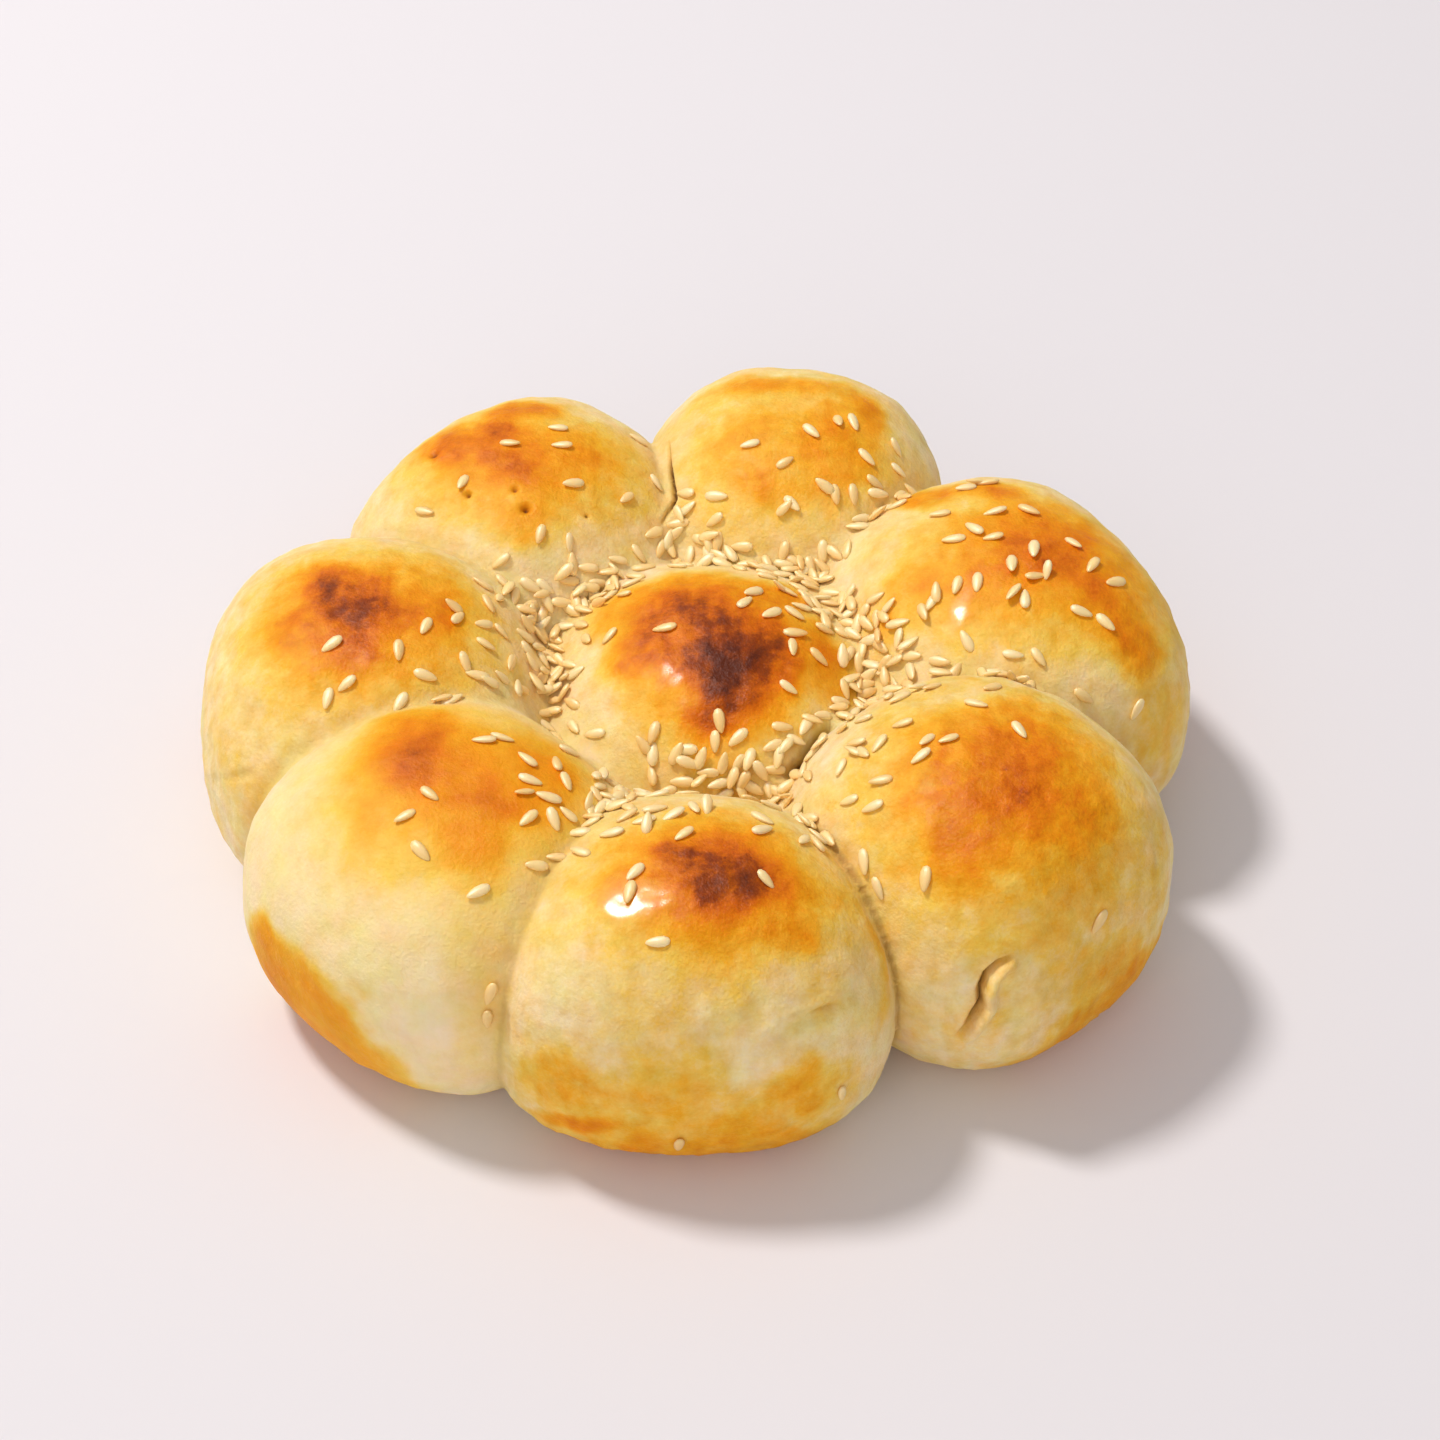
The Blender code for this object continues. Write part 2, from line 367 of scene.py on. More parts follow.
# ---- How the crust browned ----------------------------------------------------------------------
# Washed with egg and baked hot from above: each top browns in uneven patches, from gold to nearly
# burnt, the sides stay pale as the dough, and the feet take colour again from the tray.
Patch = namedtuple("Patch", "bun x y wide tall level")
# The faint patches low on the left (245, 775), front left (482, 960), back right (1165, 720) and front right
# (1135, 870) are painted shade: they give those shaded walls the yellower colour they take in shade.
PATCHES = (
    Patch("centre", 738, 668, 5.6, 6.8, 1.17), Patch("centre", 716, 632, 7.6, 6.2, 0.96),
    Patch("centre", 684, 600, 10.4, 6.2, 0.80), Patch("centre", 644, 630, 3.8, 7.2, 0.80),
    Patch("centre", 724, 712, 6.4, 3.8, 0.80), Patch("centre", 774, 644, 3.8, 7.6, 0.80),
    Patch("centre", 718, 648, 10.8, 13.4, 0.60), Patch("centre", 820, 652, 5.0, 6.6, 0.58),
    Patch("centre", 634, 664, 4.4, 3.6, 0.66), Patch("centre", 690, 656, 5.4, 4.6, 0.86),
    Patch("centre", 760, 590, 7.0, 4.0, 0.60),
    Patch("front", 728, 876, 6.6, 5.4, 0.84), Patch("front", 695, 862, 5.0, 3.8, 0.80),
    Patch("front", 726, 880, 8.4, 7.0, 0.76), Patch("front", 708, 868, 9.9, 9.2, 0.60),
    Patch("front", 614, 888, 3.6, 4.0, 0.56), Patch("front", 788, 934, 5.0, 3.0, 0.51),
    Patch("front", 715, 874, 15.6, 11.6, 0.45), Patch("front", 880, 950, 1.6, 9.0, 0.26),
    Patch("front", 560, 1085, 5.4, 5.4, 0.41), Patch("front", 580, 1126, 6.0, 2.2, 0.64),
    Patch("front", 808, 1092, 6.4, 4.6, 0.39), Patch("front", 665, 1085, 7.5, 7.0, 0.27),
    Patch("front", 648, 1018, 6.0, 6.0, 0.20),
    Patch("front_left", 420, 762, 4.0, 6.0, 0.76), Patch("front_left", 415, 742, 6.0, 8.5, 0.70),
    Patch("front_left", 490, 800, 7.0, 3.8, 0.68), Patch("front_left", 465, 775, 12.0, 11.0, 0.55),
    Patch("front_left", 460, 775, 15.6, 14.0, 0.42), Patch("front_left", 476, 840, 5.0, 5.0, 0.53),
    Patch("front_left", 545, 765, 5.0, 6.4, 0.52), Patch("front_left", 360, 810, 3.0, 7.0, 0.36),
    Patch("front_left", 482, 960, 4.0, 12.0, 0.19), Patch("left", 245, 775, 8.0, 8.0, 0.17),
    Patch("left", 362, 608, 5.8, 5.8, 0.83), Patch("left", 328, 580, 5.0, 4.2, 0.90),
    Patch("left", 352, 602, 8.4, 8.6, 0.78), Patch("left", 350, 650, 6.0, 4.4, 0.72),
    Patch("left", 440, 612, 3.6, 6.4, 0.62), Patch("left", 305, 640, 5.0, 4.0, 0.54),
    Patch("left", 362, 610, 13.4, 11.5, 0.57), Patch("left", 366, 612, 15.6, 14.0, 0.40),
    Patch("back_left", 500, 430, 5.0, 3.5, 0.77), Patch("back_left", 512, 466, 3.6, 3.0, 0.72),
    Patch("back_left", 498, 445, 8.6, 7.0, 0.65), Patch("back_left", 535, 456, 13.4, 8.4, 0.53),
    Patch("back_left", 526, 458, 15.4, 10.6, 0.42), Patch("back_left", 524, 512, 6.4, 4.6, 0.43),
    Patch("back_left", 456, 438, 5.4, 5.0, 0.66), Patch("back_left", 520, 410, 6.0, 2.6, 0.66),
    Patch("back", 785, 384, 12.0, 3.0, 0.48), Patch("back", 836, 440, 6.0, 8.0, 0.56),
    Patch("back", 866, 410, 3.0, 5.0, 0.60), Patch("back", 766, 484, 6.0, 3.2, 0.47),
    Patch("back", 790, 438, 15.0, 12.6, 0.40),
    Patch("back_right", 1000, 492, 5.0, 2.8, 0.62), Patch("back_right", 1048, 556, 8.2, 7.4, 0.62),
    Patch("back_right", 1092, 583, 3.6, 3.8, 0.80), Patch("back_right", 1056, 566, 3.0, 2.4, 0.74),
    Patch("back_right", 1035, 525, 10.0, 6.0, 0.60), Patch("back_right", 1048, 560, 13.8, 9.2, 0.56),
    Patch("back_right", 1140, 648, 4.5, 5.5, 0.62), Patch("back_right", 1122, 615, 5.0, 5.0, 0.58),
    Patch("back_right", 958, 578, 6.0, 4.6, 0.48), Patch("back_right", 934, 494, 7.0, 3.4, 0.52),
    Patch("back_right", 1036, 560, 17.6, 13.0, 0.48), Patch("back_right", 902, 600, 4.0, 6.0, 0.36),
    Patch("back_right", 1165, 720, 7.0, 13.0, 0.23), Patch("front_right", 1135, 870, 8.0, 9.0, 0.22),
    Patch("front_right", 1014, 800, 6.6, 5.6, 0.63), Patch("front_right", 1002, 782, 10.2, 9.6, 0.60),
    Patch("front_right", 1010, 738, 11.0, 7.0, 0.60), Patch("front_right", 960, 850, 4.2, 6.0, 0.60),
    Patch("front_right", 1082, 808, 6.0, 6.0, 0.56), Patch("front_right", 1000, 790, 15.0, 14.5, 0.50),
    Patch("front_right", 1018, 792, 14.4, 16.0, 0.36), Patch("front_right", 1110, 970, 9.0, 7.0, 0.28),
)
WET_PATCHES = (           # where the egg wash lay thick enough to shine
    Patch("front", 626, 913, 3.7, 3.2, 1.0), Patch("front", 662, 908, 1.6, 1.0, 0.25),
    Patch("centre", 666, 672, 0.5, 0.7, 0.35), Patch("centre", 674, 684, 0.5, 0.8, 0.35),
    Patch("centre", 681, 700, 0.5, 0.9, 0.35), Patch("back_right", 961, 606, 0.8, 2.8, 1.0),
)
PAINTED_SHADE_PATCHES = (          # and where shade is painted on the dough
    Patch("front_right", 1085, 985, 10.0, 7.0, 0.28), Patch("front_right", 1150, 880, 2.6, 8.0, 0.16),
    Patch("centre", 838, 668, 5.0, 9.0, 0.30),
)
UNEVEN = {                # how unevenly each bun's skin rose and browned
    "centre": 1.15, "front": 1.25, "front_right": 1.3, "back_right": 1.1,
    "back": 1.1, "back_left": 1.1, "left": 1.15, "front_left": 0.65,
}
# The tray browned the feet in bands. Each faces a way, in degrees round its bun, runs so far to
# either side of it, and reaches so high up the side.
FootBand = namedtuple("FootBand", "bun facing spread high level")
FOOT_BANDS = (
    FootBand("front_left", 226, 36, 21.5, 0.48), FootBand("front_left", 207, 14, 21.0, 0.61),
    FootBand("front", 272, 58, 19.0, 0.26), FootBand("front", 272, 62, 11.5, 0.43),
    FootBand("front_right", 322, 42, 14.5, 0.45), FootBand("left", 140, 36, 11.0, 0.44),
    FootBand("back_left", 112, 46, 15.0, 0.50), FootBand("back", 66, 50, 11.0, 0.44),
    FootBand("back_right", 24, 36, 13.0, 0.48),
)
BAND_EDGE = 1.3           # how softly a band ends, in millimetres upwards
BAND_END = 8.0            # and in degrees to either side
BAND_ARCH = 0.5           # how much of its height it has lost at its ends
BAND_WANDER = 3.2         # how far its top edge wanders up and down
BAND_LIMIT = 20.0         # so many of these edges past it, a band is as good as gone
WARPS = ((9.0, 1.5), (2.6, 0.6))      # lump size and reach of the patches' ragged edges, in millimetres
WARP_OCTAVES = 2
WARP_SHIFT = 11.3                     # makes them ragged in another way along each axis
PATCH_POWER = 1.25                    # how steeply a patch ends
HEAP_POWER = 4.0                      # how much the strongest patch wins where patches overlap
SHARE_EDGE = 0.7                      # how sharply a bun's browning stops at its creases
CREASE_WIDE = 1.3                     # the pinched line between two buns
CREASE_DEEP = 0.4
CREASE_LINE = 1.0                     # the painted shade line at its bottom
Crease = namedtuple("Crease", "bun other dark")
CREASES = (               # how dark that painted shade line is between two buns
    Crease("front", "front_right", 0.95), Crease("front_left", "front", 0.72),
    Crease("left", "front_left", 0.30), Crease("back_left", "left", 0.40),
    Crease("back", "back_left", 0.20), Crease("back_right", "back", 0.60),
    Crease("front_right", "back_right", 0.50),
)
PINCH_SHADE = 0.84                    # how dark the painted shade is on that line at its darkest
CREASE_SHADE = 0.42                   # and in any crease
VALLEY_FADE = 1.6                     # how far up a crease's sides its painted shade reaches
LOW_SHADE = 0.56                      # the low dough round the middle bun gets painted shade all over
SHADE_BELOW = 26.0
SHADE_DEPTH = 5.0
STREAK_SQUASH = np.array((1.0, 1.0, 0.22))      # makes streaks that run up and down
BRUSH_SQUASH = np.array((1.0, 0.22, 0.22))      # and the egg wash's brush strokes, from front to back
SIDES_ONLY = 1.4          # how fast the streaks fade as the skin turns upwards
TOPS_ONLY = 1.6           # how fast the brush strokes come as it does
TOPS_LATE = 0.5           # and how much of that is gone before they start
TOP_FROM = 27.0           # tops turn gold from this height, over so many millimetres
TOP_RISE = 9.0
TOP_LEVEL = 0.20
FOOT_EDGE = 1.5           # how high a foot's very edge darkens, browned by the tray and partly a painted contact shadow
FOOT_LEVEL = 0.60
# Kinds of unevenness: the size of their lumps in millimetres, their octaves, and a shift that
# keeps each unlike the others.
CLOUDS = (7.0, 3, 4.2)
BLOTS = (3.2, 3, 6.4)
SPECKS = (1.5, 3, 8.8)
STREAKS = (1.6, 2, 3.7)
STROKES = (1.4, 2, 9.9)
EDGE_WANDER = (8.0, 3, 14.2)
SWELLS = (13.0, 2, 2.2)
BULGES = (5.0, 2, 5.5)
DIMPLES = (2.6, 2, 7.1)
RIDGES = (3.0, 2, 5.9)
WRINKLES = (1.9, 3, 1.1)
OCTAVE_FALL = 0.9         # how fast their finer octaves weaken
OCTAVE_STEP = 2.1         # and how much finer each is
# The least that any dough browns, and how far the kinds change the browning: by a fixed level,
# or by one for pale dough and what full browning adds to it.
BASE_LEVEL = 0.06
CLOUD_LEVEL = 0.045
STREAK_LEVEL = 0.07
BLOT_LEVELS = (0.025, 0.11)
SPECK_LEVELS = (0.01, 0.07)
STROKE_LEVELS = (0.02, 0.09)
# How far they move the skin, in millimetres. Wrinkles and ridges only rise where it baked hard.
SWELL_HIGH = 0.32
BULGE_HIGH = 0.16
DIMPLE_DEEP = 0.12
STREAK_DEEP = 0.08
WRINKLE_HIGH = 0.13
RIDGE_HIGH = 0.12
HARD_RISE = 1.4           # how fast they come with the browning
HARD_LATE = 0.3           # and how much of that is gone before they start
# A thin shine comes with the browning, from this much of it and over so much more.
THIN_GLOSS = 0.02
GLOSS_FROM = 0.25
GLOSS_RISE = 0.35


def rough(points, size, octaves, shift):
    """Cloudy unevenness from about -1 to 1, with lumps of a given size."""
    places = points / size + shift
    return np.array([noise.fractal(Vector(place), OCTAVE_FALL, OCTAVE_STEP, octaves) for place in places])


def patch_share(patch, points):
    """How strongly a patch colours each point: 1 at its middle, a half at its edge, 0 well outside."""
    middle, faces = seen(smooth_tree, patch.x, patch.y)
    down = np.array(camera_turn.to_3x3() @ Vector((0.0, -1.0, 0.0)))
    tall = down - (down @ faces) * faces
    tall /= np.linalg.norm(tall)
    off = points - middle
    x = off @ np.cross(tall, faces) / patch.wide
    y = off @ tall / patch.tall
    return 0.5 ** ((x ** 2 + y ** 2) ** PATCH_POWER)


def band_share(band, points):
    """How strongly a foot band colours each point."""
    middle = bun_place(BUNS[bun_names.index(band.bun)])[0]
    off = points + loaf_middle - middle
    turned = (np.degrees(np.arctan2(off[:, 1], off[:, 0])) - band.facing + 180) % 360 - 180
    high = band.high * (1 - BAND_ARCH * (turned / band.spread) ** 2)
    past_end = np.clip((np.abs(turned) - band.spread) / BAND_END, -BAND_LIMIT, BAND_LIMIT)
    past_top = np.clip((points[:, 2] - high) / BAND_EDGE, -BAND_LIMIT, BAND_LIMIT)
    return 1 / (1 + np.exp(past_end)) / (1 + np.exp(past_top))


def on_its_bun(mark, strength):
    """How strongly a patch or band colours each point, kept to its own bun."""
    return mark.level * strength * share[bun_names.index(mark.bun)]


def with_browning(levels):
    """A level that grows from the pale dough to the browned."""
    return levels[0] + levels[1] * browning


bun_names = [bun.name for bun in BUNS]
each = dough_distances(skin + loaf_middle)[:-1]
share = np.exp(-(each - each.min(axis=0)) / SHARE_EDGE)
share /= share.sum(axis=0)
apart, two = crease_distance(skin)
from_middle = off_middle(skin)
outside = np.clip((from_middle - SOFT_WITHIN) / SOFT_EDGE, 0, 1)
pinch = np.exp(-(apart / CREASE_WIDE) ** 2) * outside
crease_shade_line = np.zeros(len(skin))
for crease in CREASES:
    pair = [bun_names.index(crease.bun), bun_names.index(crease.other)]
    meets = np.isin(two, pair).all(axis=0)
    crease_shade_line[meets] = (crease.dark * np.exp(-(apart / CREASE_LINE) ** 2) * outside)[meets]

warped = skin.copy()
for size, reach in WARPS:
    for axis in range(3):
        warped[:, axis] += reach * rough(skin, size, WARP_OCTAVES, WARP_SHIFT * axis + size)
heap = np.zeros(len(skin))
for patch in PATCHES:
    heap += on_its_bun(patch, patch_share(patch, warped)) ** HEAP_POWER
ragged = warped.copy()
ragged[:, 2] += BAND_WANDER * rough(skin, *EDGE_WANDER)
for band in FOOT_BANDS:
    heap += on_its_bun(band, band_share(band, ragged)) ** HEAP_POWER
browning = heap ** (1 / HEAP_POWER)

# Where nothing is told, a top turns light gold by its height, and a foot's very edge darkens, partly browned
# by the tray and partly a painted contact shadow. Clouds of several sizes, and streaks down the sides, keep
# every part uneven.
top = np.clip((skin[:, 2] - TOP_FROM) / TOP_RISE, 0, 1) * TOP_LEVEL
edge = np.clip(FOOT_EDGE - skin[:, 2], 0, 1) * FOOT_LEVEL
browning = np.maximum(browning, np.maximum(top, edge))
streaks = rough(skin * STREAK_SQUASH, *STREAKS) * np.clip(1 - facing[:, 2] * SIDES_ONLY, 0, 1)
strokes = rough(warped * BRUSH_SQUASH, *STROKES) * np.clip(facing[:, 2] * TOPS_ONLY - TOPS_LATE, 0, 1)
blots = with_browning(BLOT_LEVELS) * rough(skin, *BLOTS)
specks = with_browning(SPECK_LEVELS) * rough(skin, *SPECKS)
mottle = CLOUD_LEVEL * rough(skin, *CLOUDS) + blots + specks
brushed = STREAK_LEVEL * streaks + with_browning(STROKE_LEVELS) * strokes
uneven = np.array([UNEVEN[bun.name] for bun in BUNS]) @ share
browning += BASE_LEVEL + uneven * (mottle + brushed)

# The risen skin swells unevenly, dimples like peel, wrinkles where it has baked hard, and is
# pinched in between the buns.
swell = SWELL_HIGH * rough(skin, *SWELLS) + BULGE_HIGH * rough(skin, *BULGES)
dimples = DIMPLE_DEEP * rough(skin, *DIMPLES) + STREAK_DEEP * streaks
ridges = 1 - 2 * np.abs(rough(skin, *RIDGES))
baked_hard = np.clip(browning * HARD_RISE - HARD_LATE, 0.0, 1.0)
crinkle = (WRINKLE_HIGH * rough(skin, *WRINKLES) + RIDGE_HIGH * ridges) * baked_hard
relief = swell + uneven * (dimples + crinkle) - sink - CREASE_DEEP * pinch
moved = skin + facing * relief[:, None]
on_tray = skin[:, 2] < ON_TRAY
moved[on_tray] = skin[on_tray]
moved[:, 2] = np.maximum(moved[:, 2], 0.0)
write_points(crust, moved * MM)


def paint(mesh, name, values):
    mesh.attributes.new(name, "FLOAT", "POINT").data.foreach_set("value", values.astype(np.float32))


wet = np.zeros(len(skin))
for patch in WET_PATCHES:
    wet = np.maximum(wet, on_its_bun(patch, patch_share(patch, warped)))
gloss = np.maximum(wet, THIN_GLOSS * np.clip((browning - GLOSS_FROM) / GLOSS_RISE, 0, 1))

# Painted shade, darker down in the valleys and darkest at the bottom of a crease, tear or gap.
low_dough_shade = np.clip((SHADE_BELOW - skin[:, 2]) / SHADE_DEPTH, 0, 1) * (1 - outside)
shade = np.maximum(LOW_SHADE * low_dough_shade, CREASE_SHADE * np.exp(-apart / VALLEY_FADE))
for patch in PAINTED_SHADE_PATCHES:
    shade = np.maximum(shade, on_its_bun(patch, patch_share(patch, warped)))
shade = np.maximum(shade, np.maximum(PINCH_SHADE * crease_shade_line, groove_and_pit_shade))
paint(crust, "browning", browning)
paint(crust, "gloss", gloss)
paint(crust, "shade", shade)
paint(crust, "unevenness", uneven)

CRUST_COLOURS = (
    (0.00, (0.88, 0.76, 0.55)),
    (0.13, (0.88, 0.70, 0.36)),
    (0.30, (0.87, 0.560, 0.105)),
    (0.45, (0.86, 0.410, 0.024)),
    (0.60, (0.81, 0.300, 0.005)),
    (0.75, (0.74, 0.205, 0.003)),
    (0.90, (0.59, 0.128, 0.002)),
    (1.05, (0.30, 0.055, 0.004)),
    (1.25, (0.11, 0.020, 0.007)),
)
RAMP_END = 1.3
SHADE_COLOURS = (
    (0.0, (1.00, 1.00, 1.00)),
    (0.5, (0.86, 0.79, 0.55)),
    (0.8, (0.56, 0.43, 0.23)),
    (1.0, (0.17, 0.10, 0.03)),
)
TINGE_COLOURS = ((1.04, 0.97, 1.04), (0.99, 1.01, 0.86))      # from a pinker crust to a yellower
SMUDGE_COLOURS = ((1.04, 1.05, 1.04), (0.92, 0.86, 0.73))     # from a cleaner crust to a duller
# The finish's fine unevenness: the size of its lumps in millimetres, its detail and, where it
# isn't the usual one, its roughness.
MOTTLING = (1.6, 5.0, 0.62)
FRECKLES = (0.40, 3.0)
TINGES = (4.5, 3.0)
SMUDGES = (2.6, 5.0, 0.62)
PORES = (0.5, 3.0)
BUBBLES = (1.3, 3.0)
MOTTLING_LEVEL = 0.17                 # how far it changes the browning
FRECKLE_LEVEL = 0.08
ON_PALE, ON_BROWN = 0.34, 0.80        # and how much of that shows on pale and on browned crust
TINGE_SPREAD = (-1.0, 2.0)            # noise keeps near a half, and is spread from one colour to the other
SMUDGE_SPREAD = (-0.9, 1.5)
PALE_ROUGHNESS = 0.66
BROWN_ROUGHNESS = 0.42
PORE_DEPTH = 0.00024                  # in metres


def new_material(name):
    material = bpy.data.materials.new(name)
    material.use_nodes = True
    return material, material.node_tree, material.node_tree.nodes["Principled BSDF"]


def add(tree, kind, sockets, **settings):
    """A shader node. Its sockets get a value each, or another node's output."""
    made = tree.nodes.new(kind)
    for key, value in settings.items():
        setattr(made, key, value)
    for key, value in sockets.items():
        if isinstance(value, bpy.types.NodeSocket):
            tree.links.new(value, made.inputs[key])
        else:
            made.inputs[key].default_value = value
    return made


def figure(tree, operation, first, second):
    return add(tree, "ShaderNodeMath", {0: first, 1: second}, operation=operation).outputs[0]


def spread(tree, value, low, high):
    """A value from 0 to 1, spread from low to high."""
    return add(tree, "ShaderNodeMapRange", {"Value": value, "To Min": low, "To Max": high}).outputs[0]


def cloudy(tree, place, size, detail, roughness=0.55):
    """Noise from 0 to 1 with lumps of a size in millimetres."""
    sockets = {"Vector": place, "Scale": 1 / (size * MM), "Detail": detail, "Roughness": roughness}
    return add(tree, "ShaderNodeTexNoise", sockets).outputs["Fac"]


def colour_ramp(tree, value, stops, end):
    made = add(tree, "ShaderNodeValToRGB", {"Fac": value})
    while len(made.color_ramp.elements) < len(stops):
        made.color_ramp.elements.new(1.0)
    for element, (place, colour) in zip(made.color_ramp.elements, stops):
        element.position = place / end
        element.color = (*colour, 1.0)
    return made.outputs["Color"]


def mix_colours(tree, share, way, first, second):
    """Two colours mixed or multiplied, by a share of the second."""
    made = tree.nodes.new("ShaderNodeMix")
    made.data_type = "RGBA"
    made.blend_type = way
    for socket, value in zip((made.inputs[0], made.inputs[6], made.inputs[7]), (share, first, second)):
        if isinstance(value, bpy.types.NodeSocket):
            tree.links.new(value, socket)
        elif isinstance(value, tuple):
            socket.default_value = (*value, 1.0)
        else:
            socket.default_value = value
    return made.outputs[2]


crust_material, tree, shader = new_material("crust")
place = add(tree, "ShaderNodeTexCoord", {}).outputs["Object"]
browned = add(tree, "ShaderNodeAttribute", {}, attribute_name="browning").outputs["Fac"]
glossy = add(tree, "ShaderNodeAttribute", {}, attribute_name="gloss").outputs["Fac"]
shaded = add(tree, "ShaderNodeAttribute", {}, attribute_name="shade").outputs["Fac"]
unevenness = add(tree, "ShaderNodeAttribute", {}, attribute_name="unevenness").outputs["Fac"]
mottling = spread(tree, cloudy(tree, place, *MOTTLING), -MOTTLING_LEVEL, MOTTLING_LEVEL)
freckles = spread(tree, cloudy(tree, place, *FRECKLES), -FRECKLE_LEVEL, FRECKLE_LEVEL)
speckle = figure(tree, "ADD", mottling, freckles)
strength = figure(tree, "MULTIPLY", unevenness, spread(tree, browned, ON_PALE, ON_BROWN))
level = figure(tree, "ADD", browned, figure(tree, "MULTIPLY", speckle, strength))
colour = colour_ramp(tree, figure(tree, "DIVIDE", level, RAMP_END), CRUST_COLOURS, RAMP_END)
tinge = spread(tree, cloudy(tree, place, *TINGES), *TINGE_SPREAD)
tint = mix_colours(tree, tinge, "MIX", *TINGE_COLOURS)
colour = mix_colours(tree, 1.0, "MULTIPLY", colour, tint)
smudged = spread(tree, cloudy(tree, place, *SMUDGES), *SMUDGE_SPREAD)
smudge = mix_colours(tree, figure(tree, "MULTIPLY", unevenness, smudged), "MIX", *SMUDGE_COLOURS)
colour = mix_colours(tree, 1.0, "MULTIPLY", colour, smudge)
# The painted shade darkens the crust's colour.
colour = mix_colours(tree, 1.0, "MULTIPLY", colour, colour_ramp(tree, shaded, SHADE_COLOURS, 1.0))
tree.links.new(colour, shader.inputs["Base Color"])
tree.links.new(spread(tree, browned, PALE_ROUGHNESS, BROWN_ROUGHNESS), shader.inputs["Roughness"])
tree.links.new(glossy, shader.inputs["Coat Weight"])
shader.inputs["Coat Roughness"].default_value = 0.17
shader.inputs["Coat IOR"].default_value = 1.4
shader.inputs["Specular IOR Level"].default_value = 0.08
shader.inputs["Subsurface Weight"].default_value = 0.15
shader.inputs["Subsurface Radius"].default_value = (1.0, 0.5, 0.25)
shader.inputs["Subsurface Scale"].default_value = 0.0015
bumps = figure(tree, "ADD", cloudy(tree, place, *PORES), cloudy(tree, place, *BUBBLES))
pores = add(tree, "ShaderNodeBump", {"Strength": 0.6, "Distance": PORE_DEPTH, "Height": bumps})
tree.links.new(pores.outputs[0], shader.inputs["Normal"])
crust.materials.clear()
crust.materials.append(crust_material)
crust.shade_smooth()
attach(loaf, "root")
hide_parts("loaf")


# ---- The sesame ---------------------------------------------------------------------------------
# Hulled white sesame, strewn on the wet egg wash. Most of it rolled into the valleys round the
# middle bun and lies there in heaps; the rest sticks where it fell. Each seed is a flat teardrop.
SEED_LONG = 3.1
SEED_WIDE = 1.75
SEED_THICK = 0.9
SEED_SIDES = 8
SEED_RINGS = 6
SEED_POINT = 0.42         # how much narrower the pointed end is than the round one
SeedZone = namedtuple("SeedZone", "name x y radius count")
SEED_ZONES = (
    SeedZone("left_valley", 528, 622, 8.0, 44), SeedZone("left_valley_foot", 548, 688, 5.0, 12),
    SeedZone("back_left_valley", 605, 562, 6.0, 20), SeedZone("back_valley", 700, 530, 6.0, 18),
    SeedZone("back_valley_right", 780, 570, 7.0, 24), SeedZone("right_valley", 850, 625, 8.0, 38),
    SeedZone("right_crease", 960, 665, 9.0, 26), SeedZone("front_valley", 715, 772, 9.0, 38),
    SeedZone("front_valley_right", 775, 752, 5.0, 12), SeedZone("front_valley_left", 620, 808, 6.0, 24),
    SeedZone("front_left_slope", 560, 810, 6.0, 12), SeedZone("front_right_slope", 880, 730, 7.0, 16),
    SeedZone("front_top", 740, 815, 8.0, 10), SeedZone("left_slope", 458, 640, 6.0, 9),
    SeedZone("back_top", 850, 470, 9.0, 10), SeedZone("back_right_top", 1000, 540, 14.0, 10),
)
